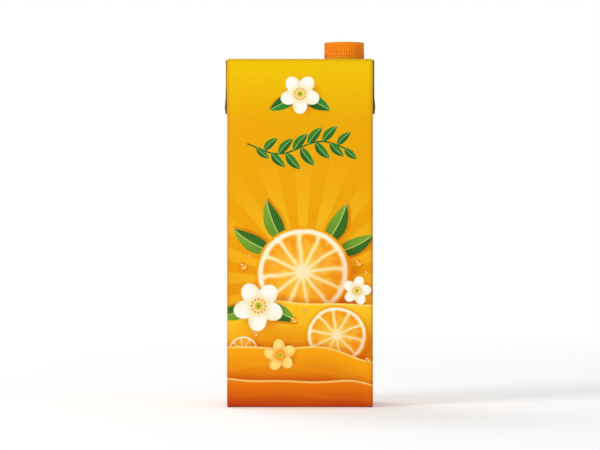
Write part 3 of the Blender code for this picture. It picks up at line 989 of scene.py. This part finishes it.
def print_picture(sheet, leaf, blossom):
    """A sun made of segments over waves of juice, with blossoms, leaves and drops."""
    wheel, drop, wave = citrus_wheel_group(), drop_group(), juice_wave_group()

    def lay_leaves(leaves):
        sheet.lay_all(leaf, leaves, ("Width", "Bend"), Light=GREEN_LIGHT, Dark=GREEN_DARK, Shadow=0.55)

    def lay_wheels(wheels):
        sheet.lay_all(wheel, wheels, ("Segments",), high=WHEEL_SQUEEZE)

    def lay_wave(crest, phase, depth, light, deep):
        sheet.add(wave, Crest=crest * MM, Phase=phase, Depth=depth * MM, Light=light, Deep=deep)

    sheet.lay(sun_rays_group(), *SUN_RAYS)
    sheet.lay(ruled_panel_group(), *SIDE_PANEL)
    lay_leaves(LEAVES_BEHIND)
    lay_wheels(SUN_WHEELS)
    lay_wave(*BACK_WAVE)
    lay_leaves(LEAVES_AFLOAT)
    sheet.lay_all(blossom, BLOSSOMS, Light=PETAL_WHITE, Deep=PETAL_CREAM)
    lay_wheels(FLOATING_WHEELS)
    lay_wave(*MIDDLE_WAVE)
    sheet.lay_all(blossom, LOW_BLOSSOMS, Light=PETAL_GOLD, Deep=PETAL_AMBER)
    lay_wave(*FRONT_WAVE)
    for run, up, radius in DROPS:
        sheet.lay(drop, run, up, radius)


def lay_sprig_leaf(sheet, leaf, run, up, reach, half, turn, **values):
    """Lays a leaf that points away from its foot, with its middle at a reach from there."""
    lean = math.radians(turn)
    sheet.lay(leaf, run + reach * math.cos(lean), up + reach * math.sin(lean), half, turn,
              Light=SPRIG_LIGHT, Dark=SPRIG_DARK, **values)


def print_emblem(sheet, leaf, blossom):
    """A white blossom on two leaves near the top of the front."""
    for turn in (-28, 208):
        lay_sprig_leaf(sheet, leaf, 0, EMBLEM_UP, 0.95 * EMBLEM_RADIUS, 0.8 * EMBLEM_RADIUS, turn,
                       Width=0.42, Bend=0.0, Shadow=0.25)
    sheet.lay(blossom, 0, EMBLEM_UP, EMBLEM_RADIUS, 18, Light=PETAL_WHITE, Deep=PETAL_CREAM)


def print_sprig(sheet, leaf):
    """A leafy sprig under the emblem, its leaves in turn above and below the stem."""
    half_length = SPRIG_LENGTH / 2
    sheet.lay(stem_group(), 0, SPRIG_UP, half_length, high=SPRIG_SWING / half_length)
    for index in range(SPRIG_LEAVES):
        share = (index + 0.5) / SPRIG_LEAVES * 2.0 - 1.0
        above = 1 if index % 2 else -1
        half = 7.6 - 2.2 * share * share
        foot_up = SPRIG_UP + SPRIG_SWING * math.sin(STEM_TURN * share)
        lay_sprig_leaf(sheet, leaf, share * half_length, foot_up, half, half, (52 - 12 * abs(share)) * above,
                       Width=0.40, Bend=0.10 * above, Shadow=0.0)


# Materials

FOLD_PAINTED_SHADE = ink(200, 190, 140)
RUBBED_INK = ink(255, 232, 168)
GROOVE_PAINTED_SHADE = ink(222, 200, 160)
RIM_PAINTED_SHADE = ink(165, 140, 110)
COLLAR_TONE = ink(244, 160, 30)


def start_material(name, roughness=0.5, specular=0.5):
    material = bpy.data.materials.new(name)
    material.use_nodes = True
    shader = material.node_tree.nodes["Principled BSDF"]
    shader.inputs["Roughness"].default_value = roughness
    shader.inputs["Specular IOR Level"].default_value = specular
    return material, Wiring(material.node_tree), shader


def object_place(w):
    return w.node("TexCoord", output="Object")


def bump(w, height):
    return w.node("Bump", {"Strength": 1.0, "Distance": 1.0, "Height": height})


def fold_wear_and_painted_shade_group():
    """Along the folds of the pack: a soft painted shade, and patches where ink is rubbed thin."""
    w = Group("fold_wear_and_painted_shade", {"Run": "Float", "Up": "Float"}, {"Shade": "Float", "Wear": "Float"})
    run, up = w.given["Run"], w.given["Up"]
    nearest = abs(run + HALF_WIDTH)
    for value, fold in ((run, HALF_WIDTH), (run, HALF_WIDTH + PACK_DEPTH),
                        (up, PACK_HEIGHT), (up, BASE_FOLD_Z)):
        nearest = w.math("MINIMUM", nearest, abs(value - fold))
    patches = w.noise(w.join(run, up), 260.0, 4.0, 0.65)
    edge = w.step(nearest, 1.1 * MM, 0.2 * MM)
    wear = edge * w.step(patches, 0.36, 0.66, 1.0, 0.35)
    return w.finish(Wear=wear, Shade=w.step(nearest, 2.6 * MM, 0.2 * MM))


def board_skin_group():
    """The laminated surface: soft waves of the board and a fine fibre grain, as a height."""
    w = Group("board_skin", {"Sheet": "Vector"}, {"Height": "Float", "Gloss": "Float"})
    waves = w.noise(w.given["Sheet"], 55.0)
    grain = w.noise(w.given["Sheet"], 900.0, 3.0, 0.6)
    height = waves.scaled(0.10 * MM, grain * (0.006 * MM))
    return w.finish(Height=height, Gloss=grain.scaled(0.10, waves * 0.08))


def make_printed_board():
    """Laminated board with its print, with painted shade and a little rubbed along the folds."""
    material, w, shader = start_material("printed_board", specular=0.07)
    blank = w.node("UVMap", uv_map="sheet")
    run, up, _ = w.split(blank)
    run = w.math("WRAP", run, HALF_WIDTH + PACK_DEPTH, -HALF_WIDTH)
    span = PACK_HEIGHT + HALF_DEPTH
    ground = w.ramp(up / span, [(height * MM / span, colour) for height, colour in GROUND])
    sheet = Printing(w, run, up, ground)
    leaf, blossom = leaf_group(), blossom_group()
    print_picture(sheet, leaf, blossom)
    print_emblem(sheet, leaf, blossom)
    print_sprig(sheet, leaf)
    folds = w.group(fold_wear_and_painted_shade_group(), Run=run, Up=up)
    wear = folds["Wear"]
    # Painted shade along the folds, where the board turns away from the light.
    colour = w.mix(folds["Shade"] * 0.5, sheet.colour, FOLD_PAINTED_SHADE, "MULTIPLY")
    colour = w.mix(wear * 0.08, colour, RUBBED_INK)
    skin = w.group(board_skin_group(), Sheet=blank)
    roughness = skin["Gloss"] + wear.scaled(0.12, 0.27)
    w.feed(shader, {"Base Color": colour, "Roughness": roughness, "Normal": bump(w, skin["Height"])})
    return material


def make_cut_board():
    """The raw edge of the blank: brown fibres with the pale laminate at its faces."""
    material, w, shader = start_material("cut_board", 0.85)
    fibres = w.noise(object_place(w), 2600.0, 3.0, 0.6)
    w.feed(shader, {"Base Color": w.ramp(fibres, [(0.25, (96, 66, 34)), (0.75, (176, 138, 88))])})
    return material


def make_ear_edge_painted_light():
    """The edges of the ears, with painted light and shade: pale on the left near the top, dark on the right,
    and painted shadow where they stand off, with random darker blotches.
    """
    material, w, shader = start_material("ear_edge_painted_light", 0.8)
    place = object_place(w)
    x, _, z = w.split(place)
    soil = w.noise(place, 420.0, 3.0, 0.6)
    # Painted light: the left ear's edges are painted pale, the right ones in shade.
    lit_side = w.step(x, 1 * MM, -1 * MM)
    upper = w.mix(lit_side, ink(140, 98, 24), ink(226, 176, 16))
    # Painted shadow lower down, where the ear ends stand off from the side panel.
    dark = w.mix(lit_side, ink(60, 40, 20), ink(112, 84, 34))
    colour = upper.cover(dark, z, 214 * MM, 203 * MM)
    w.feed(shader, {"Base Color": colour.cover(ink(80, 54, 24), soil, 0.35, 0.7, 0.5)})
    return material


def make_closure_plastic():
    """Clouded orange plastic with a fine grain, paler on the collar, with painted shade in the rib grooves
    and towards the rims.
    """
    material, w, shader = start_material("closure_plastic", specular=0.15)
    place = object_place(w)
    cloud = w.noise(place, 190.0, 3.0)
    grain = w.noise(place, 2400.0)
    colour = w.ramp(cloud, [(0.3, (250, 138, 1)), (0.7, (255, 146, 3))])
    x, y, z = w.split(place)
    x, y = x - CLOSURE_X, y - CLOSURE_Y
    # Painted shade in the grooves between the ribs of the cap.
    wave = (y.arctan2(x) * RIB_COUNT).cosine()
    ribbed = w.math("COMPARE", z, (CAP_LOW.z + CAP_HIGH.z - CAP_SMOOTH_RING) / 2,
                    (CAP_HEIGHT - CAP_SMOOTH_RING) / 2)
    on_wall = w.step(w.distance(x, y), CAP_RADIUS_TOP - 1.2 * MM, CAP_RADIUS_TOP - 0.9 * MM)
    groove = ribbed * on_wall * w.step(wave, -0.2, 1.0, 0.55)
    colour = w.mix(groove, colour, GROOVE_PAINTED_SHADE, "MULTIPLY")
    colour = colour.cover(COLLAR_TONE, z, CAP_LOW.z, CAP_LOW.z - 0.2 * MM)
    # Painted shade towards the rims, where the surface turns away.
    turned = w.node("LayerWeight", output="Facing")
    colour = colour.cover(RIM_PAINTED_SHADE, turned, 0.4, 1.0, blend="MULTIPLY")
    w.feed(shader, {"Base Color": colour, "Roughness": grain.scaled(0.14, 0.28),
                    "Normal": bump(w, grain * (0.012 * MM))})
    return material


# Stage, light and camera

FLOOR_SIZE = 14.0
FLOOR_DROP = 0.05 * MM
FLOOR_TONE = (0.86, 0.86, 0.86, 1.0)
BLACK = (0.0, 0.0, 0.0, 1.0)
WHITE = (1.0, 1.0, 1.0, 1.0)
FLOOR_GLOW = 0.2
FLOOR_FADE = (0.4, 1.4)
ROOM_LIGHT = 0.55
ROOM_SHEEN = 0.18
# name, place, size, watts
LIGHTS = [("key", (-1.75, -1.5, 1.5), 0.9, 27.5), ("right_fill", (1.7, -1.2, 0.9), 1.2, 3.5),
          ("back_fill", (-0.8, 1.5, 1.9), 1.2, 16.0)]
CAMERA_DISTANCE = 2.0
IMAGE_WIDTH = 600
METRES_PER_PIXEL = PACK_WIDTH / 146.0
IMAGE_CENTRE_Z = 118.7 * MM
SENSOR = 36.0


def make_floor():
    """A pale floor that fades into the white room, and shines less in gloss."""
    mesh = bmesh.new()
    bmesh.ops.create_grid(mesh, x_segments=8, y_segments=8, size=FLOOR_SIZE / 2)
    bmesh.ops.translate(mesh, vec=(0.0, 0.0, -FLOOR_DROP), verts=mesh.verts)
    material, w, shader = start_material("pale_floor", 0.7, 0.1)
    x, y, _ = w.split(object_place(w))
    away = w.distance(x, y)
    in_gloss = w.node("LightPath", output="Is Glossy Ray")
    glow = w.step(away, *FLOOR_FADE, 1.0, FLOOR_GLOW) * in_gloss.scaled(ROOM_SHEEN - 1.0, 1.0)
    tone = w.mix(w.step(away, *FLOOR_FADE), FLOOR_TONE, BLACK)
    w.feed(shader, {"Base Color": tone, "Emission Color": WHITE, "Emission Strength": glow})
    floor = add_mesh("floor", mesh, [material])


def make_world():
    """A white room that lights softly from all sides, and is seen dimmer in gloss."""
    world = bpy.data.worlds.new("white_room")
    world.use_nodes = True
    bpy.context.scene.world = world
    w = Wiring(world.node_tree)
    seen = w.node("LightPath", output="Is Camera Ray")
    in_gloss = w.node("LightPath", output="Is Glossy Ray")
    strength = in_gloss.scaled(ROOM_SHEEN - ROOM_LIGHT, seen.scaled(1.0 - ROOM_LIGHT, ROOM_LIGHT))
    w.feed(world.node_tree.nodes["Background"], (WHITE, strength))


def make_lights():
    middle = Vector((0.0, 0.0, PACK_HEIGHT / 2))
    for name, place, size, power in LIGHTS:
        data = bpy.data.lights.new(name, "AREA")
        data.shape = "SQUARE"
        data.size = size
        data.energy = power
        light = add_object(name, data)
        light.location = place
        light.rotation_euler = (middle - Vector(place)).to_track_quat("-Z", "Y").to_euler()


def make_camera():
    """Straight in front of the pack, with the photo's framing."""
    data = bpy.data.cameras.new("camera")
    data.sensor_width = SENSOR
    data.lens = SENSOR * CAMERA_DISTANCE / (IMAGE_WIDTH * METRES_PER_PIXEL)
    data.clip_start = 0.05
    data.clip_end = 40.0
    camera = add_object("camera", data)
    camera.location = (0.0, -HALF_DEPTH - CAMERA_DISTANCE, IMAGE_CENTRE_Z)
    camera.rotation_euler = (math.pi / 2, 0.0, 0.0)
    bpy.context.scene.camera = camera


def main():
    board = [make_printed_board(), make_cut_board(), make_ear_edge_painted_light()]
    plastic = [make_closure_plastic()]
    make_pack_box(board)
    make_ear(-1, "ear_left", board)
    make_ear(1, "ear_right", board)
    make_fin(board)
    make_lap_seam(board)
    make_base_flap(-1, "base_flap_left", board)
    make_base_flap(1, "base_flap_right", board)
    make_base_fin(board)
    make_collar(plastic)
    make_cap(plastic)
    make_floor()
    make_world()
    make_lights()
    make_camera()
    bpy.context.scene.view_settings.view_transform = "Standard"


main()
